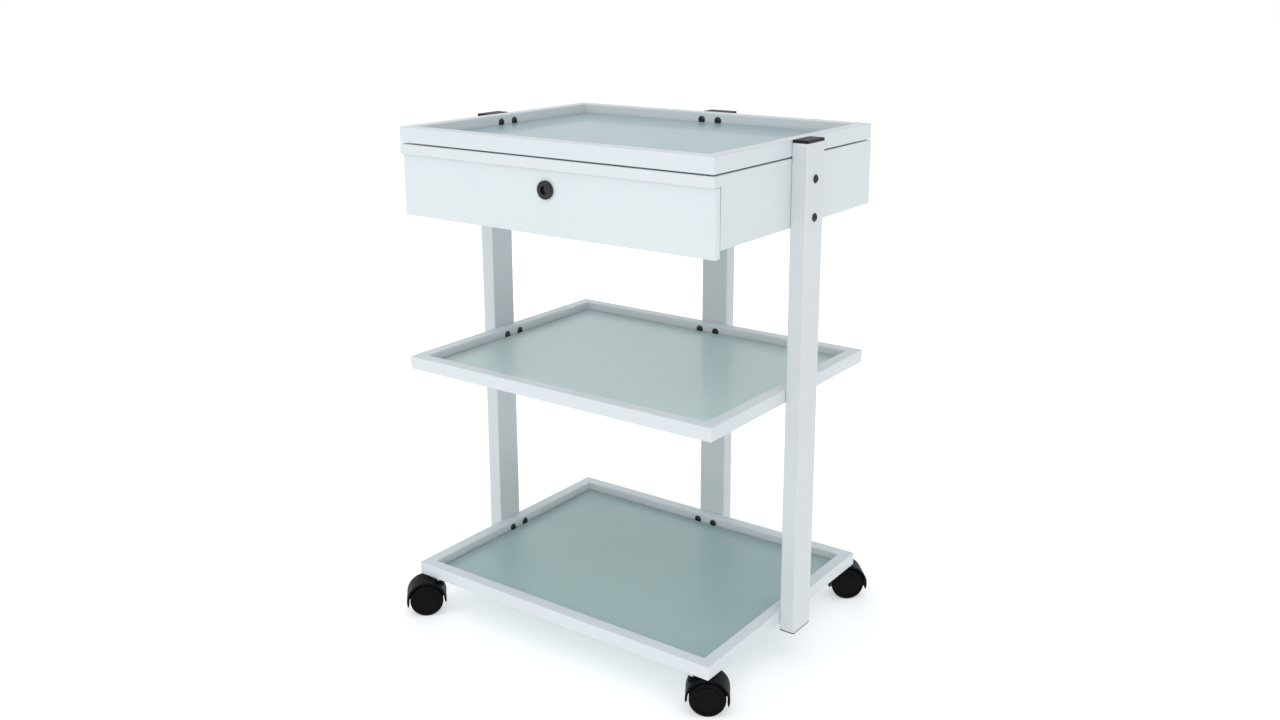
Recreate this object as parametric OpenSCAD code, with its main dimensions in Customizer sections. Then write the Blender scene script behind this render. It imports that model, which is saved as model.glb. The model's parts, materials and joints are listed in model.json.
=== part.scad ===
// Rolling salon trolley: three framed glass shelves on three tube posts, a drawer with a push-button
// lock under the top shelf, and four hooded twin-wheel casters.
// X runs left to right, Y runs front to back, Z is up. The origin is on the floor, under the middle.

/* [Overall] */
// Width of the shelves, left to right
shelf_w = 570; // [500:5:620]
// Depth of the shelves, front to back
shelf_d = 450; // [420:5:480]
// Height of the top shelf's rim above the floor
top_z = 804; // [780:2:840]
// Height of the middle shelf's underside above the floor
middle_z = 418; // [360:2:460]
// Height of the bottom shelf's underside, which is also the casters' overall height
bottom_z = 61; // [60:0.5:64]

/* [Posts] */
// Long side of the post tube's section, along the shelf's edge
post_w = 50; // [40:5:60]
// Short side of the post tube's section
post_t = 25; // [25:1:30]
// Wall of the post tube
post_wall = 1.5; // [1.2:0.1:2]
// Height of the lower end of the post tubes above the floor
post_foot_z = 53; // [50:1:60]
// Height of the upper end of the post tubes above the floor
post_head_z = 800; // [776:2:836]

/* [Shelves] */
// Width of a rim tube, seen from above
rail_w = 20; // [20:1:24]
// Height of the rim tube on the two lower shelves
shelf_h = 21; // [20:1:24]
// Height of the rim tube on the top shelf
tray_h = 24; // [22:1:26]
// Wall of the rim tubes
rail_wall = 1.5; // [1.2:0.1:2]
// Width of the strip inside the rim that carries the glass
lip_w = 14; // [12:1:20]
// Thickness of that strip
lip_t = 2; // [1.5:0.5:3]
// Thickness of the glass
glass_t = 5; // [4:1:6]
// Gap between the glass and the rim
glass_gap = 4; // [4:0.5:5]
// Thickness of the clear bumpers under the glass
pad_t = 1.5; // [1:0.5:2]

/* [Drawer] */
// Thickness of the housing's and the drawer's sheet steel
sheet = 1.2; // [1:0.1:1.5]
// Height of the drawer housing
housing_h = 99.5; // [96:0.5:104]
// Height of the strip along the housing's front top edge
strip_h = 15.5; // [14:0.5:17]
// Depth of that strip, which is also how far the housing's sides are set back
strip_d = 17; // [16:1:18]
// Height of the drawer's front panel
front_h = 95; // [93:0.5:96]
// Thickness of the drawer's front panel, which is a folded pan
front_t = 10.5; // [9:0.5:10.5]
// How far the front panel's face is set back behind the strip
front_back = 6; // [5:0.5:7]
// Height of the drawer's box
drawer_h = 68; // [60:1:70]
// How far the drawer pulls out
drawer_travel = 300; // [200:10:320]

/* [Lock] */
// Diameter of the lock's ring
lock_d = 27; // [26:1:32]
// How far the ring stands out of the drawer's front
lock_out = 5.5; // [4:0.5:5.5]
// Diameter of the push button
button_d = 12; // [10:1:14]
// How far the button sits inside the ring when it is pushed in
button_in = 4; // [2:0.5:4]
// Height of the lock's centre above the lower edge of the drawer's front
lock_up = 66; // [62:1:70]

/* [Casters] */
// Diameter of a caster wheel
wheel_d = 54; // [50:1:54]
// Width of one of the two wheels of a caster
wheel_w = 17; // [14:0.5:17]
// Distance from the swivel axis to the axle
trail = 21; // [20:0.5:22]
// Distance of a caster's stem from the left or right edge of the shelf
stem_inset = 32; // [28:1:40]
// Direction in which the front left caster trails, from +X
front_left_turn = 225; // [0:5:355]
// Direction in which the front right caster trails, from +X
front_right_turn = 32; // [0:1:359]
// Direction in which the back right caster trails, from +X
back_right_turn = 40; // [0:5:355]
// Direction in which the back left caster trails, from +X
back_left_turn = 150; // [0:5:355]

/* [Hidden] */
$fn = 48;

white = [0.88, 0.91, 0.93];
black = [0.07, 0.08, 0.09];
frost = [0.68, 0.77, 0.77];
zinc = [0.72, 0.73, 0.74];
clear = [0.85, 0.88, 0.88];

half_w = shelf_w / 2;
half_d = shelf_d / 2;
tray_z = top_z - tray_h;
fit = 0.05; // radial clearance of a shaft or a thread in its hole
eps = 0.1; // how far a cutter runs past the face it cuts

// Bolts through the rims and the housing
bolt_r = 3;
bolt_head_r = 6.25;
bolt_head_h = 3;
socket_af = 4;
socket_depth = 1.8;
bolt_pitch = 32;
bolt_len = 30;
nut_h = 5;
nut_af = 10;
housing_bolt_len = 35;
housing_bolt_low = 15;
housing_bolt_pitch = 55;

// Drawer housing and what hangs in it
housing_top = tray_z - 2;
housing_z = housing_top - housing_h;
housing_front = -half_d + strip_d;
strip_z = housing_top - strip_h;
flange_w = 25;
front_y = -half_d + front_back;
front_top = strip_z - 0.5;
front_z = front_top - front_h;
runner_space = 12.8;
drawer_half_w = half_w - sheet - runner_space;
drawer_z = housing_z + 5.5;
drawer_back = half_d - 20;
drawer_front_y = front_y + front_t;
hem_t = 3;
hem_h = 8;
screw_r = 2;
screw_len = 6;
screw_head_r = 3.6;
screw_head_h = 2;
boss_r = 4;
boss_x = 180;
boss_z = [30, 58];

// Drawer runners
runner_t = 1;
runner_z = housing_z + 24.5;
channel_h = 21.2;
channel_w = 9.8;
runner_len = 400;
runner_front = housing_front + 8;
roller_r = 9;
roller_w = 7;
roller_pin_r = 2.5;
roller_gap = 0.3;
front_roller_y = runner_front + 14;
front_roller_z = runner_z + 13;
rear_roller_y = runner_front + runner_len - 16;
rear_roller_z = runner_z + runner_t + roller_r + roller_gap;
inner_flange_z = front_roller_z + roller_r + roller_gap;
stud_y = [-60, 40, 140, 185];
stud_r = 2;
stud_head_r = 3.5;
stud_head_h = 1.1;
pin_len = 8.2;
pin_head_h = 0.8;
roller_back = 2.2;

// Push-button lock
lock_z = front_z + lock_up;
neck_r = 10;
ring_nut_h = 3.4;
lock_body_w = 40;
lock_body_h = 34;
lock_body_front = front_y + sheet + ring_nut_h + 0.2;
lock_body_back = front_y + 19;
button_front = front_y - lock_out + button_in;
button_len = 12;
latch_w = 12;
latch_t = 3;
latch_y = front_y + 14.5;
latch_top = strip_z - 0.4;
latch_h = 26;
latch_travel = 8;

// Casters
wheel_r = wheel_d / 2;
stem_x = half_w - stem_inset;
stem_y = half_d - rail_w / 2;
collar_h = 3;
neck_top = bottom_z - collar_h - 0.5;
pivot_r = 4;
stem_r = 5;
pivot_bottom = wheel_r + 21;
neck_bottom = wheel_r + 19;
web_t = 5;
hood_in_r = wheel_r + 1.9;
hood_out_r = wheel_r + 5.4;
hood_w = 40;
axle_r = 3;
axle_len = 30;
// Lower edge of a hood, from the wheel's centre, with a pointed skirt at each end
hood_edge = [
    [-60, -4], [-wheel_r - 6.2, -6], [-wheel_r - 0.9, -0.4], [0, -12],
    [wheel_r + 0.9, -3], [wheel_r + 3.7, -11.4], [60, -8]
];

// Rectangle with rounded corners, centred on the origin
module rounded_rect(w, d, r) {
    square([w - 2 * r, d], center = true);
    square([w, d - 2 * r], center = true);
    for (x = [-1, 1], y = [-1, 1])
        translate([x * (w / 2 - r), y * (d / 2 - r)])
            circle(r = r);
}

// Rod along the X axis, from x = 0
module rod_x(len, r) {
    rotate([0, 90, 0])
        cylinder(h = len, r = r);
}

// Round-headed bolt along +X with a hexagon socket: the head's underside is at x = 0
module button_bolt(len) {
    difference() {
        union() {
            intersection() {
                rotate([0, -90, 0])
                    cylinder(h = bolt_head_h, r = bolt_head_r);
                translate([5.2, 0, 0])
                    sphere(r = 8.8);
            }
            rod_x(len, bolt_r - fit);
        }
        translate([-bolt_head_h - eps, 0, 0])
            rotate([0, 90, 0])
                cylinder(h = socket_depth + eps, d = socket_af / cos(30), $fn = 6);
    }
}

// Hexagon nut along +X, from x = 0
module hex_nut(af, h, hole_r) {
    difference() {
        rotate([0, 90, 0])
            cylinder(h = h, d = af / cos(30), $fn = 6);
        translate([-eps, 0, 0])
            rod_x(h + 2 * eps, hole_r);
    }
}

// Places its children on the left, right and back posts. The children face the trolley from outside:
// their x = 0 plane is the post's inner face, and +X points outwards.
module on_each_post() {
    translate([half_w, 0, 0])
        children();
    translate([-half_w, 0, 0])
        rotate([0, 0, 180])
            children();
    translate([0, half_d, 0])
        rotate([0, 0, 90])
            children();
}

// Middle height of the rim of each shelf
rim_mid = [bottom_z + shelf_h / 2, middle_z + shelf_h / 2, tray_z + tray_h / 2];
housing_bolt_z = [housing_z + housing_bolt_low, housing_z + housing_bolt_low + housing_bolt_pitch];

// One post tube: rectangular, with two bolt holes at each shelf and two through holes at the housing
module post() {
    difference() {
        translate([post_t / 2, 0, post_foot_z])
            linear_extrude(height = post_head_z - post_foot_z)
                difference() {
                    rounded_rect(post_t, post_w, 2);
                    rounded_rect(post_t - 2 * post_wall, post_w - 2 * post_wall, 1);
                }
        for (z = rim_mid, y = [-1, 1])
            translate([-eps, y * bolt_pitch / 2, z])
                rod_x(post_wall + 2 * eps, bolt_r);
        for (z = housing_bolt_z)
            translate([-eps, 0, z])
                rod_x(post_t + 2 * eps, bolt_r);
    }
}

module left_post() {
    color(white)
        translate([-half_w, 0, 0])
            rotate([0, 0, 180])
                post();
}

module right_post() {
    color(white)
        translate([half_w, 0, 0])
            post();
}

module back_post() {
    color(white)
        translate([0, half_d, 0])
            rotate([0, 0, 90])
                post();
}

// End cap of a post: a flange as large as the tube, and below z = 0 a hollow plug with gripping ribs.
// Its side at -X is notched, because the ends of the shelf bolts and their nuts sit there.
module end_cap(flange_h) {
    inner_t = post_t - 2 * post_wall;
    inner_w = post_w - 2 * post_wall;
    plug_h = 12;
    linear_extrude(height = flange_h)
        rounded_rect(post_t, post_w, 2);
    difference() {
        union() {
            translate([0, 0, -plug_h])
                linear_extrude(height = plug_h)
                    difference() {
                        rounded_rect(inner_t - 2, inner_w - 2, 1);
                        rounded_rect(inner_t - 5, inner_w - 5, 0.5);
                    }
            for (z = [-3, -6.5, -10])
                translate([0, 0, z])
                    linear_extrude(height = 1)
                        difference() {
                            rounded_rect(inner_t - 2 * fit, inner_w - 2 * fit, 0.9);
                            rounded_rect(inner_t - 4, inner_w - 4, 0.5);
                        }
        }
        for (y = [-1, 1])
            translate([-post_t / 2, y * bolt_pitch / 2 - 7, -plug_h - 1])
                cube([11, 14, plug_h]);
    }
}

module post_top_caps() {
    color(black)
        on_each_post()
            translate([post_t / 2, 0, post_head_z])
                end_cap(top_z - post_head_z + 0.5);
}

module post_bottom_plugs() {
    color(black)
        on_each_post()
            translate([post_t / 2, 0, post_foot_z])
                rotate([180, 0, 0])
                    end_cap(2);
}

// Welded rim of a shelf: a ring of hollow tube with a strip inside its lower edge
module shelf_frame(z, h) {
    translate([0, 0, z])
        difference() {
            union() {
                linear_extrude(height = h)
                    difference() {
                        rounded_rect(shelf_w, shelf_d, 2);
                        square([shelf_w - 2 * rail_w, shelf_d - 2 * rail_w], center = true);
                    }
                linear_extrude(height = lip_t)
                    difference() {
                        square([shelf_w - rail_w, shelf_d - rail_w], center = true);
                        square([shelf_w - 2 * (rail_w + lip_w), shelf_d - 2 * (rail_w + lip_w)],
                            center = true);
                    }
            }
            translate([0, 0, rail_wall])
                linear_extrude(height = h - 2 * rail_wall)
                    difference() {
                        square([shelf_w - 2 * rail_wall, shelf_d - 2 * rail_wall], center = true);
                        square([shelf_w - 2 * (rail_w - rail_wall), shelf_d - 2 * (rail_w - rail_wall)],
                            center = true);
                    }
            on_each_post()
                for (y = [-1, 1])
                    translate([-rail_w - eps, y * bolt_pitch / 2, h / 2])
                        rod_x(rail_w + 2 * eps, bolt_r);
        }
}

module bottom_shelf_frame() {
    color(white)
        difference() {
            shelf_frame(bottom_z, shelf_h);
            for (x = [-1, 1], y = [-1, 1])
                translate([x * stem_x, y * stem_y, bottom_z - eps])
                    cylinder(h = rail_wall + 2 * eps, r = stem_r + fit);
        }
}

module middle_shelf_frame() {
    color(white)
        shelf_frame(middle_z, shelf_h);
}

module tray_frame() {
    color(white)
        shelf_frame(tray_z, tray_h);
}

// Glass panel that lies on the bumpers inside the rim of the shelf at height z
glass_w = shelf_w - 2 * (rail_w + glass_gap);
glass_d = shelf_d - 2 * (rail_w + glass_gap);

module glass_panel(z) {
    translate([0, 0, z + lip_t + pad_t])
        linear_extrude(height = glass_t)
            rounded_rect(glass_w, glass_d, 4);
}

module bottom_shelf_glass() {
    color(frost)
        glass_panel(bottom_z);
}

module middle_shelf_glass() {
    color(frost)
        glass_panel(middle_z);
}

module tray_glass() {
    color(frost)
        glass_panel(tray_z);
}

// Eight bumpers under each glass panel
module glass_bumpers() {
    bumper_x = glass_w / 2 - 5;
    bumper_y = glass_d / 2 - 5;
    color(clear)
        for (z = [bottom_z, middle_z, tray_z])
            translate([0, 0, z + lip_t])
                for (p = [[1, 1], [0, 1], [-1, 1], [-1, 0], [-1, -1], [0, -1], [1, -1], [1, 0]])
                    translate([p[0] * bumper_x, p[1] * bumper_y, 0])
                        cylinder(h = pad_t, r1 = 4.5, r2 = 4);
}

// Bolts through each rim into the posts, with their heads inside the shelf
module shelf_bolts() {
    color(black)
        on_each_post()
            for (z = rim_mid, y = [-1, 1])
                translate([-rail_w, y * bolt_pitch / 2, z])
                    button_bolt(bolt_len);
}

module shelf_bolt_nuts() {
    color(zinc)
        on_each_post()
            for (z = rim_mid, y = [-1, 1])
                translate([post_wall, y * bolt_pitch / 2, z])
                    hex_nut(nut_af, nut_h, bolt_r);
}

// Bolts through the posts into the drawer housing, with their heads on the posts' outer faces
module housing_bolts() {
    color(black)
        on_each_post()
            for (z = housing_bolt_z)
                translate([post_t, 0, z])
                    rotate([0, 0, 180])
                        button_bolt(housing_bolt_len);
}

module housing_bolt_nuts() {
    color(zinc)
        on_each_post()
            for (z = housing_bolt_z)
                translate([-sheet - nut_h, 0, z])
                    hex_nut(nut_af, nut_h, bolt_r);
}

// Folded sheet shell that the drawer hangs in: open below and in front, with a hollow strip above the drawer
module drawer_housing() {
    inner_w = shelf_w - 2 * sheet;
    depth = half_d - housing_front;
    color(white)
        difference() {
            union() {
                translate([-half_w, -half_d, strip_z])
                    cube([shelf_w, shelf_d, strip_h]);
                translate([-half_w, housing_front, housing_z])
                    cube([shelf_w, depth, housing_h]);
            }
            translate([-inner_w / 2, -half_d + sheet, strip_z + sheet])
                cube([inner_w, shelf_d - 2 * sheet, strip_h - 2 * sheet]);
            translate([-inner_w / 2, housing_front, housing_z + sheet])
                cube([inner_w, depth - sheet, housing_h - 2 * sheet]);
            translate([-inner_w / 2 + flange_w, housing_front - eps, housing_z - eps])
                cube([inner_w - 2 * flange_w, depth - sheet - flange_w + eps, sheet + 2 * eps]);
            for (z = housing_bolt_z)
                on_each_post()
                    translate([-sheet - eps, 0, z])
                        rod_x(sheet + 2 * eps, bolt_r);
        }
}

// Right-hand outer runner: a channel on the housing's side, with its front end open at the top
module outer_runner() {
    web_x = half_w - sheet - runner_t;
    color(zinc)
        difference() {
            union() {
                translate([web_x, runner_front, runner_z])
                    cube([runner_t, runner_len, channel_h]);
                translate([web_x - channel_w + runner_t, runner_front, runner_z])
                    cube([channel_w, runner_len, runner_t]);
                translate([web_x - channel_w + runner_t, runner_front + 34, runner_z + channel_h - runner_t])
                    cube([channel_w, runner_len - 34, runner_t]);
            }
            for (y = stud_y)
                translate([web_x - eps, y, rear_roller_z])
                    rod_x(runner_t + 2 * eps, stud_r);
        }
}

// Right-hand inner runner: an angle on the drawer's side that rides on the front roller
module inner_runner() {
    color(zinc) {
        translate([drawer_half_w, runner_front, inner_flange_z - 18])
            cube([runner_t, runner_len, 18 + runner_t]);
        translate([drawer_half_w, runner_front, inner_flange_z])
            cube([channel_w, runner_len, runner_t]);
    }
}

module left_outer_runner() {
    mirror([1, 0, 0])
        outer_runner();
}

module right_outer_runner() {
    outer_runner();
}

module left_inner_runner() {
    mirror([1, 0, 0])
        inner_runner();
}

module right_inner_runner() {
    inner_runner();
}

// Low-headed studs, welded to the housing's sides, that hold the outer runners
module runner_studs() {
    color(zinc)
        for (side = [0, 1])
            mirror([side, 0, 0])
                for (y = stud_y)
                    translate([half_w - sheet - runner_t, y, rear_roller_z]) {
                        translate([-stud_head_h, 0, 0])
                            rod_x(stud_head_h, stud_head_r);
                        rod_x(runner_t, stud_r - fit);
                    }
}

// Pin with a head: it stands on the plane x = 0 and points along +X
module roller_pin() {
    rod_x(pin_len, roller_pin_r);
    translate([pin_len, 0, 0])
        rod_x(pin_head_h, roller_pin_r + 1);
}

// Roller turning about X, from x = 0, with a recess for the pin's head in its far face
module roller() {
    difference() {
        rotate([0, 90, 0])
            rotate_extrude()
                difference() {
                    union() {
                        square([roller_r, roller_w - 2]);
                        translate([0, 1])
                            square([roller_r - 1, roller_w - 1]);
                        translate([roller_r - 1, roller_w - 2])
                            circle(r = 1);
                    }
                    translate([4.5, roller_w - 0.8])
                        square([3, 2]);
                }
        translate([-eps, 0, 0])
            rod_x(roller_w + 2 * eps, roller_pin_r + fit);
        translate([roller_w - 1.2, 0, 0])
            rod_x(2, roller_pin_r + 1.3);
    }
}

// Places a front roller's pieces, whose x = 0 plane is then the outer runner's web
module at_front_roller() {
    translate([half_w - sheet - runner_t, front_roller_y, front_roller_z])
        mirror([1, 0, 0])
            children();
}

// Places a rear roller's pieces, whose x = 0 plane is then the inner runner's web
module at_rear_roller() {
    translate([drawer_half_w + runner_t, rear_roller_y, rear_roller_z])
        children();
}

module front_roller_pins() {
    color(zinc)
        for (side = [0, 1])
            mirror([side, 0, 0])
                at_front_roller()
                    roller_pin();
}

module rear_roller_pins() {
    color(zinc)
        for (side = [0, 1])
            mirror([side, 0, 0])
                at_rear_roller()
                    roller_pin();
}

module right_front_roller() {
    color("white")
        at_front_roller()
            translate([roller_back, 0, 0])
                roller();
}

module left_front_roller() {
    mirror([1, 0, 0])
        right_front_roller();
}

module right_rear_roller() {
    color("white")
        at_rear_roller()
            translate([roller_back, 0, 0])
                roller();
}

module left_rear_roller() {
    mirror([1, 0, 0])
        right_rear_roller();
}

// Open-topped drawer box with hemmed side and back edges and a cut-out for the lock in its front wall
module drawer_box() {
    w = 2 * drawer_half_w;
    d = drawer_back - drawer_front_y;
    color(white)
        difference() {
            translate([-drawer_half_w, drawer_front_y, drawer_z])
                cube([w, d, drawer_h]);
            translate([-drawer_half_w + sheet, drawer_front_y + sheet, drawer_z + sheet])
                cube([w - 2 * sheet, d - 2 * sheet, drawer_h - hem_h - sheet]);
            translate([-drawer_half_w + hem_t, drawer_front_y + hem_t, drawer_z + sheet])
                cube([w - 2 * hem_t, d - 2 * hem_t, drawer_h]);
            translate([-lock_body_w / 2 - 1, drawer_front_y - eps, lock_z - lock_body_h / 2 - 1])
                cube([lock_body_w + 2, hem_t + 2 * eps, lock_body_h + 30]);
            for (x = [-1, 1], z = boss_z)
                translate([x * boss_x, drawer_front_y - eps, front_z + z])
                    rotate([-90, 0, 0])
                        cylinder(h = hem_t + 2 * eps, r = screw_r + 0.2);
        }
}

// Front panel: a folded pan, open at the back, with a hole for the lock and four threaded bosses
module drawer_front() {
    w = shelf_w - 1;
    color(white)
        difference() {
            union() {
                difference() {
                    translate([-w / 2, front_y, front_z])
                        cube([w, front_t, front_h]);
                    translate([-w / 2 + sheet, front_y + sheet, front_z + sheet])
                        cube([w - 2 * sheet, front_t, front_h - 2 * sheet]);
                }
                for (x = [-1, 1], z = boss_z)
                    translate([x * boss_x, front_y + sheet / 2, front_z + z])
                        rotate([-90, 0, 0])
                            cylinder(h = front_t - sheet / 2, r = boss_r);
            }
            for (x = [-1, 1], z = boss_z)
                translate([x * boss_x, front_y + 2.5, front_z + z])
                    rotate([-90, 0, 0])
                        cylinder(h = front_t, r = screw_r);
            translate([0, front_y - eps, lock_z])
                rotate([-90, 0, 0])
                    cylinder(h = sheet + 2 * eps, r = neck_r + fit);
        }
}

module drawer_front_screws() {
    color(zinc)
        for (x = [-1, 1], z = boss_z)
            translate([x * boss_x, drawer_front_y + sheet, front_z + z])
                rotate([-90, 0, 0]) {
                    cylinder(h = screw_head_h, r = screw_head_r);
                    translate([0, 0, -sheet - screw_len])
                        cylinder(h = sheet + screw_len, r = screw_r - fit);
                }
}

// Ring of the lock, with a rounded rim, and the neck that passes through the drawer's front
module lock_ring() {
    rim_r = 2;
    color(black)
        translate([0, front_y, lock_z])
            rotate([90, 0, 0])
                rotate_extrude()
                    difference() {
                        union() {
                            square([lock_d / 2, lock_out - rim_r]);
                            square([lock_d / 2 - rim_r, lock_out]);
                            translate([lock_d / 2 - rim_r, lock_out - rim_r])
                                circle(r = rim_r);
                            translate([0, -7])
                                square([neck_r, 7.5]);
                        }
                        translate([-1, -8])
                            square([1 + button_d / 2 + fit, lock_out + 10]);
                    }
}

module lock_ring_nut() {
    color(zinc)
        translate([0, front_y + sheet, lock_z])
            rotate([0, 0, 90])
                hex_nut(26, ring_nut_h, neck_r + fit);
}

// Case behind the drawer's front that guides the button and the latch
module lock_body() {
    d = lock_body_back - lock_body_front;
    color(black)
        difference() {
            translate([-lock_body_w / 2, lock_body_front, lock_z - lock_body_h / 2])
                cube([lock_body_w, d, lock_body_h]);
            translate([0, lock_body_front - eps, lock_z])
                rotate([-90, 0, 0])
                    cylinder(h = latch_y - lock_body_front + 2 * eps, r = neck_r + fit);
            translate([-latch_w / 2 - 0.3, latch_y - 0.3, lock_z - lock_body_h / 2 + 2])
                cube([latch_w + 0.6, latch_t + 0.6, lock_body_h]);
        }
}

module lock_button() {
    color([0.2, 0.21, 0.23])
        translate([0, button_front, lock_z])
            rotate([-90, 0, 0])
                rotate_extrude()
                    difference() {
                        square([button_d / 2, button_len]);
                        translate([button_d / 2 - 0.8, -0.01])
                            polygon([[0, 0], [1, 0], [1, 1]]);
                    }
}

module lock_latch() {
    color(zinc)
        translate([-latch_w / 2, latch_y, latch_top - latch_h])
            cube([latch_w, latch_t, latch_h]);
}

// Coil spring that pushes the latch up
function coil_point(i, r, rise, turns, steps) = [
    r * cos(360 * i / steps),
    r * sin(360 * i / steps),
    rise * i / (turns * steps)
];

module coil(r, wire_r, rise, turns) {
    steps = 14;
    sides = 6;
    count = turns * steps;
    tilt = atan(rise / turns / (2 * PI * r));
    rings = [for (i = [0 : count], j = [0 : sides - 1])
        let (a = 360 * i / steps, b = 360 * j / sides, c = coil_point(i, r, rise, turns, steps))
        [
            c[0] + wire_r * (cos(b) * cos(a) + sin(b) * sin(tilt) * sin(a)),
            c[1] + wire_r * (cos(b) * sin(a) - sin(b) * sin(tilt) * cos(a)),
            c[2] + wire_r * sin(b) * cos(tilt)
        ]];
    sides_of_tube = [for (i = [0 : count - 1], j = [0 : sides - 1])
        [i * sides + j, (i + 1) * sides + j, (i + 1) * sides + (j + 1) % sides, i * sides + (j + 1) % sides]];
    first = [for (j = [0 : sides - 1]) j];
    last = [for (j = [sides - 1 : -1 : 0]) count * sides + j];
    polyhedron(points = rings, faces = concat([first, last], sides_of_tube));
}

module lock_spring() {
    floor_z = lock_z - lock_body_h / 2 + 2;
    wire_r = 0.35;
    color(zinc)
        translate([0, latch_y + latch_t / 2, floor_z + wire_r])
            coil(1.1, wire_r, latch_top - latch_h - floor_z - 2 * wire_r - 0.2, 6);
}

// Angle under the housing's top that the latch catches behind
module lock_keeper() {
    w = 40;
    leg_t = 1.5;
    front = housing_front + 0.1;
    back = latch_y + latch_t + 8;
    color(zinc)
        difference() {
            union() {
                translate([-w / 2, front, strip_z])
                    cube([w, back - front, leg_t]);
                translate([-w / 2, back - leg_t, strip_z])
                    cube([w, leg_t, strip_h - sheet]);
            }
            translate([-latch_w / 2 - 0.5, latch_y - 0.5, strip_z - eps])
                cube([latch_w + 1, latch_t + 1, leg_t + 2 * eps]);
        }
}

// Places its children at a caster's stem, turned so that +X is the way the caster trails
module at_caster(side, end, turn) {
    translate([side * stem_x, end * stem_y, 0])
        rotate([0, 0, turn])
            children();
}

// Stem of a caster: thread, hexagon collar and pivot pin
module caster_stems() {
    color(zinc)
        for (x = [-1, 1], y = [-1, 1])
            translate([x * stem_x, y * stem_y, 0]) {
                translate([0, 0, bottom_z])
                    cylinder(h = 13, r = stem_r);
                translate([0, 0, bottom_z - collar_h])
                    cylinder(h = collar_h, d = 17 / cos(30), $fn = 6);
                translate([0, 0, pivot_bottom + 0.5])
                    cylinder(h = bottom_z - collar_h - pivot_bottom, r = pivot_r);
            }
}

// Threaded sleeves inside the rim that the stems screw into
module caster_sockets() {
    color(zinc)
        for (x = [-1, 1], y = [-1, 1])
            translate([x * stem_x, y * stem_y, bottom_z + rail_wall])
                difference() {
                    cylinder(h = 12, r = 7.5);
                    translate([0, 0, -eps])
                        cylinder(h = 12 + 2 * eps, r = stem_r + fit);
                }
}

// Side outline of a hood, above the pointed skirts at its two ends
module hood_outline() {
    difference() {
        union() {
            translate([trail, wheel_r])
                circle(r = hood_out_r, $fn = 72);
            polygon([[trail - hood_out_r, wheel_r], [-7.9, wheel_r + 16], [-3.4, wheel_r + 22.6],
                [trail - 9, wheel_r + hood_out_r - 1.4], [trail, wheel_r]]);
        }
        translate([trail, wheel_r])
            polygon(concat(hood_edge, [[60, -60], [-60, -60]]));
    }
}

// Swivelling body of a caster: a hood over both wheels, a web between them and a neck round the pivot
module caster_hood() {
    color(black)
        difference() {
            union() {
                rotate([90, 0, 0])
                    linear_extrude(height = hood_w, center = true)
                        hood_outline();
                translate([0, 0, neck_bottom])
                    cylinder(h = neck_top - neck_bottom, r1 = 8.6, r2 = 6.6);
            }
            for (side = [0, 1])
                mirror([0, side, 0])
                    translate([trail, web_t / 2, wheel_r])
                        rotate([-90, 0, 0])
                            cylinder(h = hood_w, r = hood_in_r, $fn = 72);
            translate([0, 0, pivot_bottom])
                cylinder(h = bottom_z, r = pivot_r + fit);
            translate([trail, hood_w, wheel_r])
                rotate([90, 0, 0])
                    cylinder(h = 2 * hood_w, r = axle_r + 0.02);
        }
}

module caster_axle() {
    color(zinc)
        translate([trail, axle_len / 2, wheel_r])
            rotate([90, 0, 0])
                cylinder(h = axle_len, r = axle_r);
}

// Left wheel of a caster, seen the way it trails: rounded tread, a ring groove and a blind bore
module left_wheel() {
    edge_r = 3;
    color(black)
        translate([trail, web_t / 2 + 0.4, wheel_r])
            rotate([-90, 0, 0])
                difference() {
                    rotate_extrude($fn = 96)
                        difference() {
                            union() {
                                square([wheel_r - edge_r, wheel_w]);
                                square([wheel_r, wheel_w - edge_r]);
                                translate([wheel_r - edge_r, wheel_w - edge_r])
                                    circle(r = edge_r);
                            }
                            translate([wheel_r - 7.5, wheel_w - 0.8])
                                square([2, 2]);
                        }
                    translate([0, 0, -eps])
                        cylinder(h = axle_len / 2 - web_t / 2 + 0.4 + eps, r = axle_r + fit);
                }
}

module right_wheel() {
    mirror([0, 1, 0])
        left_wheel();
}

module front_left_caster_hood() {
    at_caster(-1, -1, front_left_turn)
        caster_hood();
}

module front_left_caster_axle() {
    at_caster(-1, -1, front_left_turn)
        caster_axle();
}

module front_left_caster_left_wheel() {
    at_caster(-1, -1, front_left_turn)
        left_wheel();
}

module front_left_caster_right_wheel() {
    at_caster(-1, -1, front_left_turn)
        right_wheel();
}

module front_right_caster_hood() {
    at_caster(1, -1, front_right_turn)
        caster_hood();
}

module front_right_caster_axle() {
    at_caster(1, -1, front_right_turn)
        caster_axle();
}

module front_right_caster_right_wheel() {
    at_caster(1, -1, front_right_turn)
        right_wheel();
}

module front_right_caster_left_wheel() {
    at_caster(1, -1, front_right_turn)
        left_wheel();
}

module back_right_caster_hood() {
    at_caster(1, 1, back_right_turn)
        caster_hood();
}

module back_right_caster_axle() {
    at_caster(1, 1, back_right_turn)
        caster_axle();
}

module back_right_caster_right_wheel() {
    at_caster(1, 1, back_right_turn)
        right_wheel();
}

module back_right_caster_left_wheel() {
    at_caster(1, 1, back_right_turn)
        left_wheel();
}

module back_left_caster_hood() {
    at_caster(-1, 1, back_left_turn)
        caster_hood();
}

module back_left_caster_axle() {
    at_caster(-1, 1, back_left_turn)
        caster_axle();
}

module back_left_caster_right_wheel() {
    at_caster(-1, 1, back_left_turn)
        right_wheel();
}

module back_left_caster_left_wheel() {
    at_caster(-1, 1, back_left_turn)
        left_wheel();
}

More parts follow.
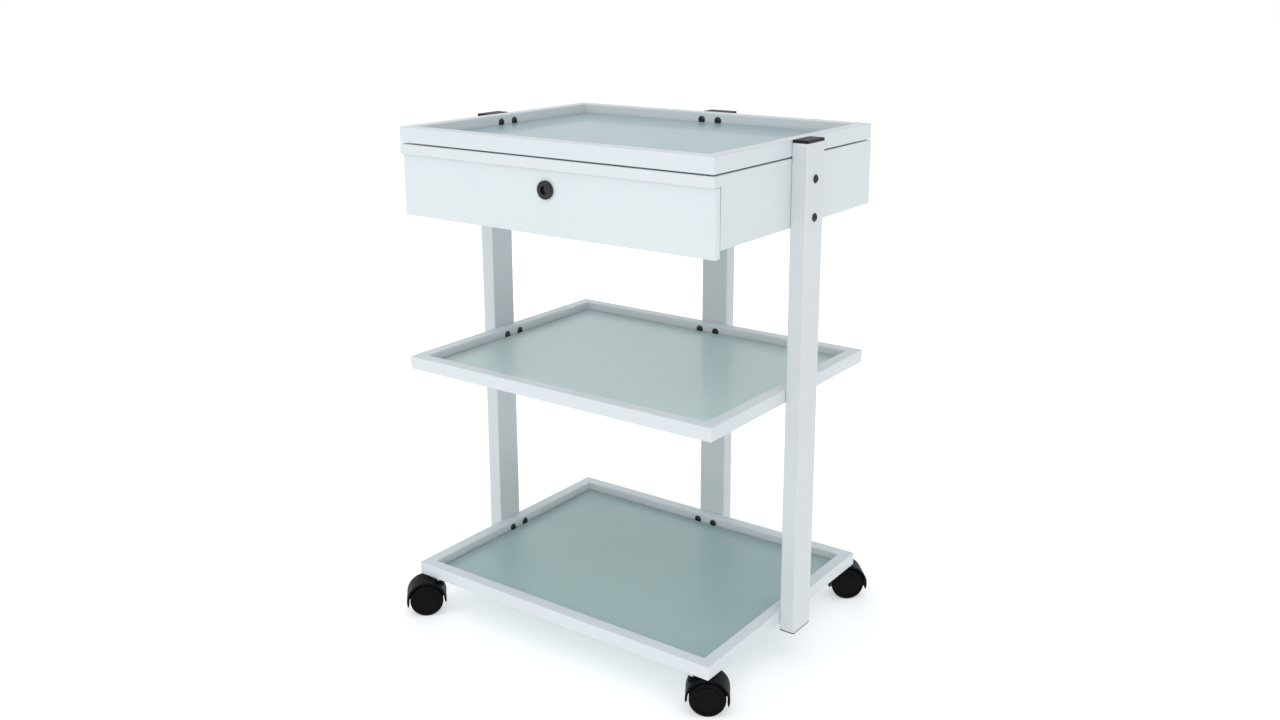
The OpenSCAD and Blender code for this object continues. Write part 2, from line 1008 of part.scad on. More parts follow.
left_post();
right_post();
back_post();
post_top_caps();
post_bottom_plugs();
bottom_shelf_frame();
middle_shelf_frame();
tray_frame();
bottom_shelf_glass();
middle_shelf_glass();
tray_glass();
glass_bumpers();
shelf_bolts();
shelf_bolt_nuts();
housing_bolts();
housing_bolt_nuts();
drawer_housing();
runner_studs();
left_outer_runner();
right_outer_runner();
left_inner_runner();
right_inner_runner();
front_roller_pins();
rear_roller_pins();
left_front_roller();
right_front_roller();
left_rear_roller();
right_rear_roller();
drawer_box();
drawer_front();
drawer_front_screws();
lock_ring();
lock_ring_nut();
lock_body();
lock_button();
lock_latch();
lock_spring();
lock_keeper();
caster_stems();
caster_sockets();
front_left_caster_hood();
front_left_caster_axle();
front_left_caster_left_wheel();
front_left_caster_right_wheel();
front_right_caster_hood();
front_right_caster_axle();
front_right_caster_right_wheel();
front_right_caster_left_wheel();
back_right_caster_hood();
back_right_caster_axle();
back_right_caster_right_wheel();
back_right_caster_left_wheel();
back_left_caster_hood();
back_left_caster_axle();
back_left_caster_right_wheel();
back_left_caster_left_wheel();
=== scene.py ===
"""Rolling salon trolley: the looks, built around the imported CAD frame.

Metres, +Z up. The drawer side faces -Y. Places and sizes come from the frame. The few that its boxes don't
give are named below.
"""
import json
import math

import bmesh
import bpy
from mathutils import Matrix, Vector

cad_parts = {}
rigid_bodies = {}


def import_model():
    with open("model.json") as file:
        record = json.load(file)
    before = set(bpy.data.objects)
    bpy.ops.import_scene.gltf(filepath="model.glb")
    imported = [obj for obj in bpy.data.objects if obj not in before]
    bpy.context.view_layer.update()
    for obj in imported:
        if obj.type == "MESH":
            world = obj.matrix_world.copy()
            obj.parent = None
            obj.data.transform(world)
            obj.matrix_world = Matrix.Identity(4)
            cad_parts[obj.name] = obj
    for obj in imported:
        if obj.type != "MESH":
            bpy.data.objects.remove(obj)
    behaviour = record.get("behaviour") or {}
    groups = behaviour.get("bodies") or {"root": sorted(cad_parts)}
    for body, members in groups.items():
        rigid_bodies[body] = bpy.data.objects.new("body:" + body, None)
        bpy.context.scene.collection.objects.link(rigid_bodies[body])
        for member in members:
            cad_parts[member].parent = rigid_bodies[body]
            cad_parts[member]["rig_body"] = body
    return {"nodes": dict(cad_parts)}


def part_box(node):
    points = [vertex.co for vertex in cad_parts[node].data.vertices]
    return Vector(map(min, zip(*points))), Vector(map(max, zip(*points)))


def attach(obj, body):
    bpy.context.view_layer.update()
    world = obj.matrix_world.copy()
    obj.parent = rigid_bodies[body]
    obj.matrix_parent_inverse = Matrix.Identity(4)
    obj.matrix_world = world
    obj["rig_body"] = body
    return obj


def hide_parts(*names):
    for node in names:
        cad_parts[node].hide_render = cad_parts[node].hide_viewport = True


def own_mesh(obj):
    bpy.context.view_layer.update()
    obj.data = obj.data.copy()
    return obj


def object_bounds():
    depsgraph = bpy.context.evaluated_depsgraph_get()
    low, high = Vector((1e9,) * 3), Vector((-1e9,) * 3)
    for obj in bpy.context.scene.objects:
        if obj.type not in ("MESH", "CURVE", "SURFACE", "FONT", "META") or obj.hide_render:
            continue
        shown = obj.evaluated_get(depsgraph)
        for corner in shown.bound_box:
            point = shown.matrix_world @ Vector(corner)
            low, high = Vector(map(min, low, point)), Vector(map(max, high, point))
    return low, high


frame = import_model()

NODES = frame["nodes"]
CAD_LO, CAD_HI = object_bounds()
MM = 0.001
CASTERS = ("front_left", "front_right", "back_right", "back_left")
SHELVES = ("bottom_shelf", "middle_shelf", "tray")

# The section of a shelf's frame, as in part.scad
RIM_W = 20 * MM
LIP_W = 14 * MM
BUMPER_H = 1.5 * MM
# Radii of the frame's edges and corners, and of the glass
RIM_R = 1.7 * MM
NOOK_R = 0.8 * MM
LIP_R = 0.5 * MM
RIM_CORNER_R = 2.6 * MM
SHARPEST_CORNER_R = 0.35 * MM
GLASS_CORNER_R = 4 * MM
GLASS_EASE = 0.7 * MM

# Widths of the rounded edges of the CAD shapes, in mm
SHEET_BEND = 1.3
BOX_TOP_EDGE = 1.1
BOX_BEND = 0.8
CAP_EDGE = 0.9
PLUG_EDGE = 0.6
HOOD_EDGE = 0.7

# Points closer than this are merged, and a point this close to a plane, in mm, counts as on it
MERGE_WITHIN = 0.004 * MM
ON_PLANE = 0.05
# Faces at less than this angle are merged, and an edge at less than this angle isn't rounded, in degrees
FLAT_TO = 0.6
ROUND_FROM = 30


# ---------------------------------------------------------------- node helpers
class Nodes:
    """A small wrapper that builds a material's or the world's node tree."""

    def __init__(self, tree):
        self.tree = tree
        tree.nodes.clear()

    def put(self, socket, value):
        """Links a socket to another node's output, or sets its own value."""
        if isinstance(value, bpy.types.NodeSocket):
            self.tree.links.new(value, socket)
        else:
            socket.default_value = value

    def add(self, kind, inputs=None, **settings):
        node = self.tree.nodes.new(kind)
        for key, value in settings.items():
            setattr(node, key, value)
        for key, value in (inputs or {}).items():
            self.put(node.inputs[key], value)
        return node

    def object_coords(self):
        """Places in metres, which stay with the piece when it moves."""
        return self.add("ShaderNodeTexCoord").outputs["Object"]

    def noise(self, vector, scale, detail=2.0, rough=0.5):
        """Noise from 0 to 1, with scale in cycles to the metre."""
        node = self.add(
            "ShaderNodeTexNoise",
            {"Vector": vector, "Scale": scale, "Detail": detail, "Roughness": rough},
        )
        return node.outputs["Fac"]

    def ramp(self, value, low, high, to_low=0.0, to_high=1.0):
        """A value that goes from to_low to to_high as another goes from low to high."""
        node = self.add(
            "ShaderNodeMapRange",
            {"Value": value, "From Min": low, "From Max": high, "To Min": to_low, "To Max": to_high},
        )
        return node.outputs["Result"]

    def mix(self, factor, a, b):
        """Colour a where the factor is 0, and b where it is 1."""
        node = self.add("ShaderNodeMix", data_type="RGBA")
        for key, value in (("Factor_Float", factor), ("A_Color", a), ("B_Color", b)):
            self.put(next(s for s in node.inputs if s.identifier == key), value)
        return next(s for s in node.outputs if s.identifier == "Result_Color")

    def math(self, operation, a, b=0.0):
        node = self.add("ShaderNodeMath", {0: a, 1: b}, operation=operation)
        return node.outputs[0]

    def bump(self, height, strength, distance, normal=None):
        inputs = {"Height": height, "Strength": strength, "Distance": distance}
        if normal is not None:
            inputs["Normal"] = normal
        return self.add("ShaderNodeBump", inputs).outputs["Normal"]

    def surface(self, **inputs):
        """The material's one shader. Keys are its sockets' names, with _ for a space."""
        names = {key.replace("_", " "): value for key, value in inputs.items()}
        shader = self.add("ShaderNodeBsdfPrincipled", names)
        self.add("ShaderNodeOutputMaterial", {"Surface": shader.outputs["BSDF"]})


def material(name):
    """A new material and its node tree, emptied."""
    made = bpy.data.materials.new(name)
    made.use_nodes = True
    return made, Nodes(made.node_tree)


def rgb(r, g, b):
    return (r, g, b, 1.0)


# ---------------------------------------------------------------- materials
def powder_coat(name, light, dark, seams=False):
    """White powder coat: fine orange peel, faint colour drift and light scuffs. Seams adds the welds."""
    made, n = material(name)
    at = n.object_coords()
    drift = n.noise(at, 4.0, 3.0)
    speck = n.noise(at, 2600.0, 1.0)
    colour = n.mix(n.ramp(drift, 0.35, 0.65), rgb(*dark), rgb(*light))
    colour = n.mix(n.ramp(speck, 0.62, 0.75, 0.0, 0.10), colour, rgb(0.55, 0.58, 0.61))
    # Scuffs are streaks along X, in patches
    stretched = n.add("ShaderNodeMapping", {"Vector": at, "Scale": (30.0, 260.0, 260.0)}).outputs[0]
    scratches = n.ramp(n.noise(stretched, 1.0, 4.0, 0.65), 0.66, 0.74)
    worn_areas = n.ramp(n.noise(at, 9.0), 0.5, 0.66)
    scuff = n.math("MULTIPLY", scratches, worn_areas)
    colour = n.mix(n.math("MULTIPLY", scuff, 0.16), colour, rgb(0.50, 0.53, 0.56))
    satin = n.ramp(n.noise(at, 38.0, 4.0), 0.3, 0.7, 0.30, 0.40)
    rough = n.math("ADD", satin, n.math("MULTIPLY", scuff, 0.15))
    peel = n.math("ADD", n.noise(at, 420.0, 2.0), n.math("MULTIPLY", n.noise(at, 1500.0, 1.0), 0.35))
    normal = n.bump(peel, 0.10, 0.25 * MM)
    if seams:
        # A weld runs along each shelf corner's diagonal, where |x| - |y| is the same all the way
        xyz = n.add("ShaderNodeSeparateXYZ", {"Vector": at}).outputs
        across = n.math("SUBTRACT", n.math("ABSOLUTE", xyz["X"]), n.math("ABSOLUTE", xyz["Y"]))
        off = n.math("ABSOLUTE", n.math("SUBTRACT", across, (SHELF_W - SHELF_D) / 2))
        bead = n.ramp(off, 0.0, WELD_BEAD_W, 1.0, 0.0)
        bead = n.math("MULTIPLY", bead, n.ramp(n.noise(at, 260.0, 2.0), 0.2, 0.8, 0.7, 1.0))
        normal = n.bump(bead, 0.35, 0.30 * MM, normal)
    n.surface(Base_Color=colour, Roughness=rough, Normal=normal, Coat_Weight=0.12, Coat_Roughness=0.22)
    return made


def moulded_plastic(name, dark, light, rough_low, rough_high, grain, gloss, scale=1400.0):
    """Black moulded plastic: fine spark-eroded grain and slightly greyer worn patches."""
    made, n = material(name)
    at = n.object_coords()
    worn = n.noise(at, 55.0, 5.0, 0.6)
    colour = n.mix(n.ramp(worn, 0.45, 0.75), rgb(*dark), rgb(*light))
    dust = n.ramp(n.noise(at, 900.0, 2.0), 0.68, 0.8, 0.0, 0.4)
    colour = n.mix(dust, colour, rgb(0.030, 0.032, 0.034))
    rough = n.ramp(worn, 0.3, 0.7, rough_low, rough_high)
    cells = n.add("ShaderNodeTexVoronoi", {"Vector": at, "Scale": scale}).outputs["Distance"]
    height = n.math("ADD", cells, n.noise(at, scale * 0.6, 3.0))
    normal = n.bump(height, grain, 0.12 * MM)
    n.surface(Base_Color=colour, Roughness=rough, Normal=normal, Specular_IOR_Level=gloss)
    return made


def frosted_glass(name, dark, light):
    """Etched float glass: satin faces with a faint mottle, and polished green edges."""
    made, n = material(name)
    at = n.object_coords()
    face_normal = n.add("ShaderNodeNewGeometry").outputs["True Normal"]
    facing = n.add("ShaderNodeSeparateXYZ", {"Vector": face_normal}).outputs["Z"]
    edge = n.ramp(n.math("ABSOLUTE", facing), 0.35, 0.75, 1.0, 0.0)
    mottle = n.noise(at, 14.0, 4.0, 0.55)
    colour = n.mix(n.ramp(mottle, 0.3, 0.7), rgb(*dark), rgb(*light))
    grain = n.noise(at, 3000.0, 2.0)
    colour = n.mix(n.ramp(grain, 0.58, 0.8, 0.0, 0.25), colour, rgb(0.56, 0.67, 0.655))
    colour = n.mix(edge, colour, rgb(0.16, 0.36, 0.30))
    rough = n.math("SUBTRACT", n.ramp(mottle, 0.3, 0.7, 0.34, 0.42), n.math("MULTIPLY", edge, 0.26))
    fine = n.noise(at, 1900.0, 3.0, 0.7)
    etched = n.math("ADD", fine, n.math("MULTIPLY", n.noise(at, 60.0, 2.0), 0.6))
    normal = n.bump(etched, 0.07, 0.10 * MM)
    n.surface(
        Base_Color=colour, Roughness=rough, Normal=normal, IOR=1.52, Transmission_Weight=0.40,
        Specular_IOR_Level=0.25, Coat_Weight=0.3, Coat_Roughness=0.05,
    )
    return made


def metal(name, dark, light, rough_low, rough_high, streak):
    """Plated steel with blotchy passivation and fine drawing marks."""
    made, n = material(name)
    at = n.object_coords()
    blotch = n.noise(at, 120.0, 5.0, 0.6)
    colour = n.mix(n.ramp(blotch, 0.3, 0.7), rgb(*dark), rgb(*light))
    lines = n.add("ShaderNodeMapping", {"Vector": at, "Scale": (900.0, 25.0, 900.0)}).outputs[0]
    drawn = n.noise(lines, 1.0, 3.0, 0.6)
    base = n.ramp(blotch, 0.3, 0.7, rough_low, rough_high)
    rough = n.math("ADD", base, n.ramp(drawn, 0.3, 0.7, -0.04, 0.04))
    normal = n.bump(drawn, streak, 0.05 * MM)
    n.surface(Base_Color=colour, Roughness=rough, Normal=normal, Metallic=1.0)
    return made


def nylon():
    """Off-white runner rollers with patches of grease."""
    made, n = material("roller_nylon")
    at = n.object_coords()
    tint = n.noise(at, 180.0, 4.0)
    colour = n.mix(n.ramp(tint, 0.3, 0.7), rgb(0.72, 0.71, 0.66), rgb(0.80, 0.79, 0.75))
    grease = n.ramp(n.noise(at, 60.0, 3.0), 0.6, 0.7, 0.0, 0.4)
    colour = n.mix(grease, colour, rgb(0.42, 0.40, 0.35))
    normal = n.bump(n.noise(at, 1200.0, 2.0), 0.1, 0.08 * MM)
    n.surface(Base_Color=colour, Roughness=n.ramp(tint, 0.3, 0.7, 0.38, 0.5), Normal=normal)
    return made


def silicone():
    """Clear bumpers under the glass, a little cloudy."""
    made, n = material("clear_bumper")
    at = n.object_coords()
    cloud = n.noise(at, 220.0, 3.0)
    colour = n.mix(n.ramp(cloud, 0.3, 0.7), rgb(0.80, 0.85, 0.85), rgb(0.90, 0.93, 0.93))
    normal = n.bump(n.noise(at, 700.0, 2.0), 0.12, 0.08 * MM)
    n.surface(
        Base_Color=colour, Roughness=n.ramp(cloud, 0.3, 0.7, 0.18, 0.3), Normal=normal, IOR=1.41,
        Transmission_Weight=0.75,
    )
    return made


def studio_floor():
    """A pale matt floor that glows a little, so it reaches white and keeps a soft shadow."""
    made, n = material("studio_floor")
    at = n.object_coords()
    cloud = n.noise(at, 1.5, 3.0)
    colour = n.mix(n.ramp(cloud, 0.3, 0.7), rgb(0.715, 0.722, 0.730), rgb(0.735, 0.740, 0.746))
    normal = n.bump(n.noise(at, 90.0, 3.0), 0.02, 0.3 * MM)
    n.surface(
        Base_Color=colour, Roughness=n.ramp(cloud, 0.3, 0.7, 0.62, 0.7), Normal=normal,
        Specular_IOR_Level=0.12, Emission_Color=rgb(0.97, 0.985, 1.0), Emission_Strength=0.42,
    )
    return made


shelf_lo, shelf_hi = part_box("bottom_shelf_frame")
SHELF_W, SHELF_D = shelf_hi.x - shelf_lo.x, shelf_hi.y - shelf_lo.y
WELD_BEAD_W = 2.4 * MM

COAT = powder_coat("white_powder_coat", (0.652, 0.695, 0.709), (0.634, 0.678, 0.693))
# The rims' copy of the one white coat: a touch darker and bluer as painted shade, and it carries the weld
# seams
COAT_RIM_SHADED = powder_coat("white_powder_coat_rim_painted_shade", (0.645, 0.688, 0.712), (0.627, 0.671, 0.696), seams=True)
# The drawer front's copy of the one white coat, lighter as painted light
COAT_FRONT_LIT = powder_coat("white_powder_coat_front_painted_light", (0.655, 0.706, 0.722), (0.638, 0.690, 0.706))
# The posts' copy of the one white coat, darker as painted shade
COAT_POST_SHADED = powder_coat("white_powder_coat_post_painted_shade", (0.622, 0.654, 0.672), (0.604, 0.636, 0.655))
# Copies of the one frosted glass, each tuned to its shelf's light: the bottom pane darker as painted shade,
# the middle pane lighter as painted light against the housing's shadow, and the tray's a darker, bluer copy
# as painted shading
GLASS_SHADED_PER_SHELF = {
    "bottom_shelf": frosted_glass("frosted_glass_bottom_painted_shade", (0.440, 0.590, 0.580), (0.468, 0.617, 0.608)),
    "middle_shelf": frosted_glass("frosted_glass_middle_painted_light", (0.636, 0.772, 0.762), (0.664, 0.798, 0.788)),
    "tray": frosted_glass("frosted_glass_tray_painted_shading", (0.432, 0.604, 0.652), (0.460, 0.632, 0.680)),
}
CAP = moulded_plastic(
    "black_cap_plastic", (0.0085, 0.0095, 0.0110), (0.016, 0.017, 0.019),
    rough_low=0.40, rough_high=0.52, grain=0.16, gloss=0.20,
)
CASTER = moulded_plastic(
    "black_caster_plastic", (0.0022, 0.0027, 0.0032), (0.0050, 0.0056, 0.0062),
    rough_low=0.40, rough_high=0.52, grain=0.14, gloss=0.08,
)
WHEEL = moulded_plastic(
    "black_wheel_nylon", (0.0020, 0.0026, 0.0030), (0.0050, 0.0056, 0.0060),
    rough_low=0.36, rough_high=0.52, grain=0.10, gloss=0.07, scale=900.0,
)
LOCK = moulded_plastic(
    "black_lock_plastic", (0.0075, 0.0085, 0.0100), (0.014, 0.015, 0.017),
    rough_low=0.26, rough_high=0.36, grain=0.05, gloss=0.42,
)
BUTTON = moulded_plastic(
    "grey_button_plastic", (0.012, 0.0135, 0.016), (0.020, 0.022, 0.025),
    rough_low=0.24, rough_high=0.34, grain=0.05, gloss=0.45,
)
BOLT = moulded_plastic(
    "black_bolt_finish", (0.0070, 0.0080, 0.0095), (0.013, 0.014, 0.016),
    rough_low=0.30, rough_high=0.42, grain=0.05, gloss=0.50, scale=2400.0,
)
ZINC = metal(
    "zinc_steel", (0.53, 0.54, 0.555), (0.60, 0.61, 0.62),
    rough_low=0.30, rough_high=0.38, streak=0.08,
)
NYLON = nylon()
BUMPER = silicone()


# ---------------------------------------------------------------- mesh helpers
def finish_piece(piece, node, look, body, sharp=32.0):
    """Shades a new piece, gives it its look, and makes it stand for its CAD node.

    An edge stays sharp from that angle on, in degrees.
    """
    mesh = piece.data
    mesh.materials.clear()
    mesh.materials.append(look)
    for face in mesh.polygons:
        face.use_smooth = True
    mesh.set_sharp_from_angle(angle=math.radians(sharp))
    smooth = piece.modifiers.new("weighted", "WEIGHTED_NORMAL")
    smooth.keep_sharp = True
    smooth.weight = 100
    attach(piece, body)
    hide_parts(node)
    return piece


def new_piece(name, bm):
    """An object made from a bmesh, which is freed."""
    mesh = bpy.data.meshes.new(name)
    bmesh.ops.recalc_face_normals(bm, faces=bm.faces[:])
    bm.to_mesh(mesh)
    bm.free()
    piece = bpy.data.objects.new(name, mesh)
    bpy.context.scene.collection.objects.link(piece)
    return piece


def rounded_path(hw, hd, r, z, steps):
    """Points of a rectangle with round corners, counter-clockwise from its +X +Y corner."""
    points = []
    for sx, sy, start in ((1, 1, 0), (-1, 1, 90), (-1, -1, 180), (1, -1, 270)):
        cx, cy = sx * (hw - r), sy * (hd - r)
        for i in range(steps + 1):
            a = math.radians(start + 90 * i / steps)
            points.append(Vector((cx + r * math.cos(a), cy + r * math.sin(a), z)))
    return points


def arc(cu, cz, r, start, end, steps):
    """Points of an arc in a section, from one angle in degrees to another."""
    return [
        (cu + r * math.cos(math.radians(start + (end - start) * i / steps)),
         cz + r * math.sin(math.radians(start + (end - start) * i / steps)))
        for i in range(steps + 1)
    ]


def swept_ring(name, half_w, half_d, z, section, outer_r):
    """A closed section, as (inset, height) points, swept round a rectangle."""
    bm = bmesh.new()
    rings = []
    for u, h in section:
        r = max(outer_r - u, SHARPEST_CORNER_R)
        rings.append([bm.verts.new(p) for p in rounded_path(half_w - u, half_d - u, r, z + h, 5)])
    for i, ring in enumerate(rings):
        other = rings[(i + 1) % len(rings)]
        for k in range(len(ring)):
            m = (k + 1) % len(ring)
            bm.faces.new((ring[k], ring[m], other[m], other[k]))
    return new_piece(name, bm)


def refined(name, passes):
    """A copy of a CAD node with welded points, merged flat faces, and rounded edges.

    Each pass is (width in mm, segments, rule). The rule gets an edge's two ends in mm, and None takes all.
    """
    bm = bmesh.new()
    bm.from_mesh(NODES[name].data)
    bmesh.ops.remove_doubles(bm, verts=bm.verts[:], dist=MERGE_WITHIN)
    bmesh.ops.dissolve_limit(
        bm, angle_limit=math.radians(FLAT_TO), use_dissolve_boundaries=False,
        verts=bm.verts[:], edges=bm.edges[:],
    )
    for width, segments, rule in passes:
        chosen = []
        for e in bm.edges:
            if len(e.link_faces) != 2 or e.calc_face_angle_signed(0.0) < math.radians(ROUND_FROM):
                continue
            if rule is None or rule(e.verts[0].co / MM, e.verts[1].co / MM):
                chosen.append(e)
        if chosen:
            bmesh.ops.bevel(
                bm, geom=chosen, offset=width * MM, offset_type="OFFSET", segments=segments,
                profile=0.5, affect="EDGES", clamp_overlap=False, miter_outer="SHARP",
            )
    return new_piece(name + "_skin", bm)


def refine(name, passes, look, sharp=32.0):
    """Replaces a CAD node by its refined copy, on the same body."""
    body = NODES[name]["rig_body"]
    return finish_piece(refined(name, passes), name, look, body, sharp)


# ---------------------------------------------------------------- shelves
def rim_section(height, lip):
    """A shelf frame's section, as (inset, height): a tube, with a lip inside it that carries the glass."""
    reach = RIM_W + LIP_W
    return (
        arc(RIM_R, RIM_R, RIM_R, 270, 180, 5)
        + arc(RIM_R, height - RIM_R, RIM_R, 180, 90, 5)
        + arc(RIM_W - RIM_R, height - RIM_R, RIM_R, 90, 0, 5)
        + arc(RIM_W + NOOK_R, lip + NOOK_R, NOOK_R, 180, 270, 3)
        + arc(reach - LIP_R, lip - LIP_R, LIP_R, 90, 0, 2)
        + arc(reach - LIP_R, LIP_R, LIP_R, 0, -90, 2)
    )


def glass_pane(name, lo, hi):
    """A pane with round corners. Its edges are eased by two facets each, which meet a little proud."""
    bm = bmesh.new()
    thick = hi.z - lo.z
    ease, part = GLASS_EASE, GLASS_EASE * 0.3
    profile = [
        (ease, 0.0), (part, part), (0.0, ease),
        (0.0, thick - ease), (part, thick - part), (ease, thick),
    ]
    loops = [
        [
            bm.verts.new(p)
            for p in rounded_path(hi.x - u, hi.y - u, GLASS_CORNER_R - u, lo.z + h, 8)
        ]
        for u, h in profile
    ]
    for a, b in zip(loops, loops[1:]):
        for k in range(len(a)):
            m = (k + 1) % len(a)
            bm.faces.new((a[k], a[m], b[m], b[k]))
    bm.faces.new(loops[-1])
    bm.faces.new(loops[0][::-1])
    return new_piece(name, bm)


for shelf in SHELVES:
    lo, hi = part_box(shelf + "_frame")
    glass_lo, glass_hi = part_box(shelf + "_glass")
    section = rim_section(hi.z - lo.z, glass_lo.z - BUMPER_H - lo.z)
    piece = swept_ring(shelf + "_frame_skin", hi.x, hi.y, lo.z, section, RIM_CORNER_R)
    finish_piece(piece, shelf + "_frame", COAT_RIM_SHADED, "frame", sharp=50.0)
    piece = glass_pane(shelf + "_glass_skin", glass_lo, glass_hi)
    finish_piece(piece, shelf + "_glass", GLASS_SHADED_PER_SHELF[shelf], "frame")


# ---------------------------------------------------------------- housing and drawer
def both(a, b, axis, plane):
    """Whether both ends of an edge, in mm, lie on a plane across an axis."""
    return abs(a[axis] - plane) < ON_PLANE and abs(b[axis] - plane) < ON_PLANE


def two_planes(lo, hi, keep_back=False):
    """A rule for the edges on two outer planes of a box. With keep_back, its back ones stay sharp."""
    low, high = lo / MM, hi / MM

    def rule(a, b):
        if keep_back and both(a, b, 1, high.y):
            return False
        planes = [
            axis for axis in range(3)
            if both(a, b, axis, low[axis]) or both(a, b, axis, high[axis])
        ]
        return len(planes) >= 2

    return rule


def level(z):
    """A rule for the edges that lie at one height, in metres."""
    return lambda a, b: both(a, b, 2, z / MM)


lo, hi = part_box("drawer_housing")
refine("drawer_housing", [(SHEET_BEND, 3, two_planes(lo, hi))], COAT)
lo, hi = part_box("drawer_front")
refine(
    "drawer_front", [(SHEET_BEND, 3, two_planes(lo, hi, keep_back=True))],
    COAT_FRONT_LIT,
)
lo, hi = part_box("drawer_box")
refine(
    "drawer_box", [(BOX_TOP_EDGE, 3, level(hi.z)), (BOX_BEND, 2, two_planes(lo, hi))],
    COAT,
)

# ---------------------------------------------------------------- posts and their caps
for name in ("left_post", "right_post", "back_post"):
    refine(name, [], COAT_POST_SHADED, sharp=40.0)

lo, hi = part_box("post_top_caps")
refine("post_top_caps", [(CAP_EDGE, 3, level(hi.z))], CAP)
lo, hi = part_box("post_bottom_plugs")
refine("post_bottom_plugs", [(PLUG_EDGE, 2, level(lo.z))], CAP)

# ---------------------------------------------------------------- the lock's spring, which the latch presses
lo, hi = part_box("lock_spring")
spring = refine("lock_spring", [], ZINC, sharp=60.0)
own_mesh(spring)

# ---------------------------------------------------------------- casters
for corner in CASTERS:
    refine(corner + "_caster_hood", [(HOOD_EDGE, 2, None)], CASTER, sharp=28.0)

# ---------------------------------------------------------------- looks of the CAD nodes
LOOKS = {
    "glass_bumpers": BUMPER,
    "shelf_bolts": BOLT, "housing_bolts": BOLT,
    "lock_ring": LOCK, "lock_body": LOCK, "lock_button": BUTTON,
}


def look_of(name):
    """The material of a CAD node. The replaced ones have one too, though they are hidden."""
    if name in LOOKS:
        return LOOKS[name]
    if "roller" in name and "pin" not in name:
        return NYLON
    if name.endswith("_wheel"):
        return WHEEL
    if name.endswith(("_post", "_frame", "_housing", "_box", "_front")):
        return COAT
    if name.endswith(("_caps", "_plugs", "_hood")):
        return CAP
    if name.endswith("_glass"):
        return GLASS_SHADED_PER_SHELF[name.removesuffix("_glass")]
    return ZINC


for name, node in NODES.items():
    node.data.materials.clear()
    node.data.materials.append(look_of(name))
    for face in node.data.polygons:
        face.material_index = 0


# ---------------------------------------------------------------- studio
FLOOR_RINGS = (0.6, 1.5, 4.0, 10.0, 24.0)
FLOOR_STEPS = 48


def stage_floor():
    """A round floor under the trolley, made of rings."""
    bm = bmesh.new()
    turns = [2 * math.pi * i / FLOOR_STEPS for i in range(FLOOR_STEPS)]
    centre = bm.verts.new((0, 0, 0))
    previous = None
    for r in FLOOR_RINGS:
        ring = [bm.verts.new((r * math.cos(turn), r * math.sin(turn), 0)) for turn in turns]
        for i in range(FLOOR_STEPS):
            k = (i + 1) % FLOOR_STEPS
            if previous is None:
                bm.faces.new((centre, ring[i], ring[k]))
            else:
                bm.faces.new((previous[i], ring[i], ring[k], previous[k]))
        previous = ring
    floor = new_piece("studio_floor", bm)
    floor.location.z = CAD_LO.z
    floor.data.materials.append(studio_floor())


def world_light():
    """White at the horizon, and greyer overhead. Overhead it is brighter toward the front right."""
    world = bpy.data.worlds.new("studio")
    world.use_nodes = True
    bpy.context.scene.world = world
    n = Nodes(world.node_tree)
    ray = n.add("ShaderNodeTexCoord").outputs["Generated"]
    xyz = n.add("ShaderNodeSeparateXYZ", {"Vector": ray}).outputs
    high = n.ramp(xyz["Z"], 0.20, 0.48)
    right = n.math("MULTIPLY", xyz["X"], 0.6)
    front_right = n.math("SUBTRACT", right, n.math("MULTIPLY", xyz["Y"], 0.8))
    side = n.ramp(front_right, -0.5, 0.8)
    overhead = n.mix(side, rgb(0.42, 0.44, 0.46), rgb(0.96, 0.97, 0.98))
    colour = n.mix(high, rgb(1.0, 1.0, 1.0), overhead)
    back = n.add("ShaderNodeBackground", {"Color": colour, "Strength": 1.0})
    n.add("ShaderNodeOutputWorld", {"Surface": back.outputs["Background"]})


def sun(name, azimuth, elevation, strength, spread, colour):
    """A broad, even light. Its azimuth is 0 on the drawer side and 90 on the right, in degrees."""
    light = bpy.data.lights.new(name, "SUN")
    light.energy = strength
    light.angle = math.radians(spread)
    light.color = colour
    lamp = bpy.data.objects.new(name, light)
    a, e = math.radians(azimuth), math.radians(elevation)
    back = Vector((math.sin(a) * math.cos(e), -math.cos(a) * math.cos(e), math.sin(e)))
    lamp.rotation_euler = back.to_track_quat("Z", "Y").to_euler()
    lamp.location = back * 4
    bpy.context.scene.collection.objects.link(lamp)


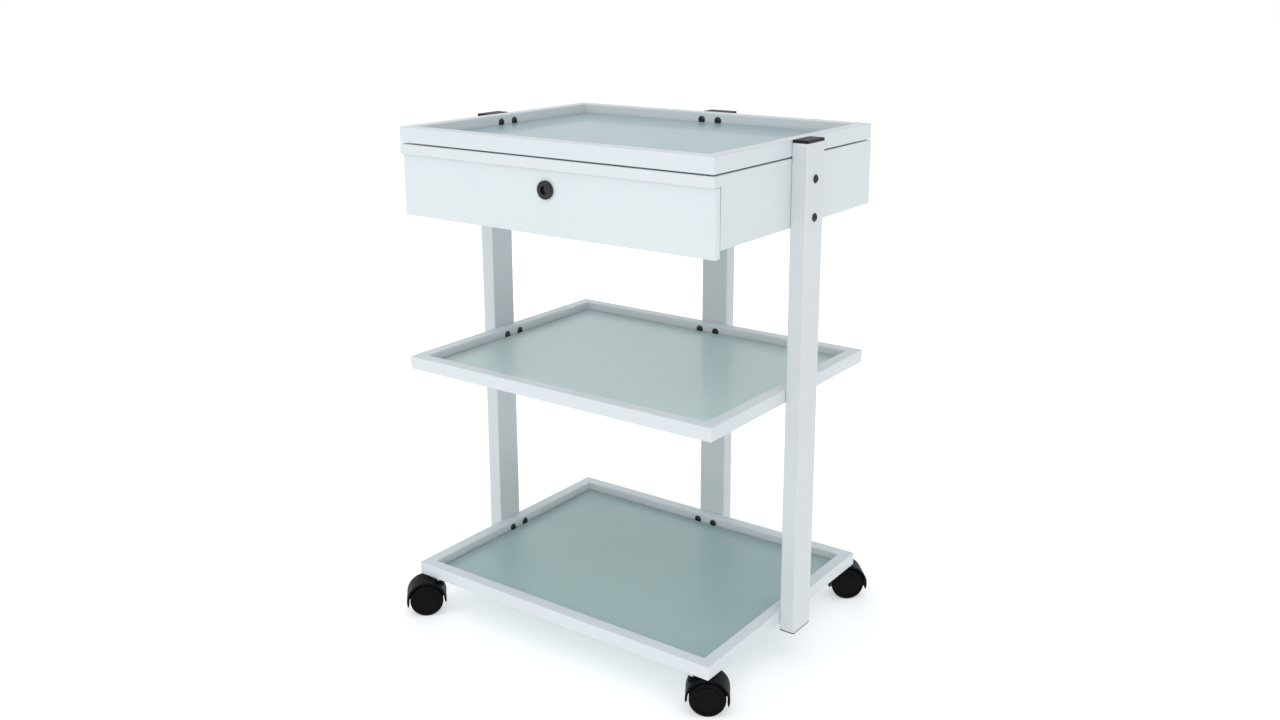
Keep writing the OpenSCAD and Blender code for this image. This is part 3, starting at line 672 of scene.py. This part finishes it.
def softbox(name, place, target, size, power, colour, mirrored=True):
    """A square soft light aimed at a point. Glossy surfaces don't reflect it when it isn't mirrored."""
    light = bpy.data.lights.new(name, "AREA")
    light.shape = "SQUARE"
    light.size = size
    light.energy = power
    light.color = colour
    lamp = bpy.data.objects.new(name, light)
    lamp.location = place
    lamp.rotation_euler = (Vector(place) - Vector(target)).to_track_quat("Z", "Y").to_euler()
    lamp.visible_glossy = mirrored
    bpy.context.scene.collection.objects.link(lamp)


# The photo's view, fitted to the corners of the three rims with a small shift. Angles in degrees
CAMERA_AT = (1.1483, -1.5737, 1.0311)
CAMERA_HEADING = 36.01
CAMERA_PITCH_DOWN = 14.08
CAMERA_ROLL = -0.16
CAMERA_LENS = 35.65
CAMERA_SHIFT_Y = -0.0547


def camera():
    """Makes the camera. The heading turns it about Z, and the pitch tips it down."""
    data = bpy.data.cameras.new("camera")
    cam = bpy.data.objects.new("camera", data)
    bpy.context.scene.collection.objects.link(cam)
    data.lens = CAMERA_LENS
    data.sensor_width = 36.0
    data.shift_y = CAMERA_SHIFT_Y
    heading = Matrix.Rotation(math.radians(CAMERA_HEADING), 4, "Z")
    pitch = Matrix.Rotation(math.radians(90 - CAMERA_PITCH_DOWN), 4, "X")
    roll = Matrix.Rotation(math.radians(CAMERA_ROLL), 4, "Z")
    cam.matrix_world = Matrix.Translation(CAMERA_AT) @ (heading @ pitch @ roll)
    bpy.context.scene.camera = cam


stage_floor()
world_light()
sun("overhead", azimuth=55, elevation=78, strength=0.52, spread=60, colour=(1.0, 0.995, 0.985))
softbox(
    "front_softbox", place=(-0.9, -1.9, 1.7), target=(0.0, -0.1, 0.62),
    size=1.2, power=4, colour=(0.98, 0.99, 1.0),
)
softbox(
    "camera_side", place=(1.7, -3.0, 1.15), target=(0.0, 0.0, 0.42),
    size=2.2, power=14, colour=(0.99, 0.99, 1.0), mirrored=False,
)
softbox(
    "far_side", place=(-1.8, 1.7, 1.35), target=(0.0, 0.0, 0.40),
    size=1.8, power=14, colour=(0.99, 0.99, 1.0), mirrored=False,
)
camera()

settings = bpy.context.scene.view_settings
settings.view_transform = "Standard"
settings.look = "None"
settings.exposure = 0.0
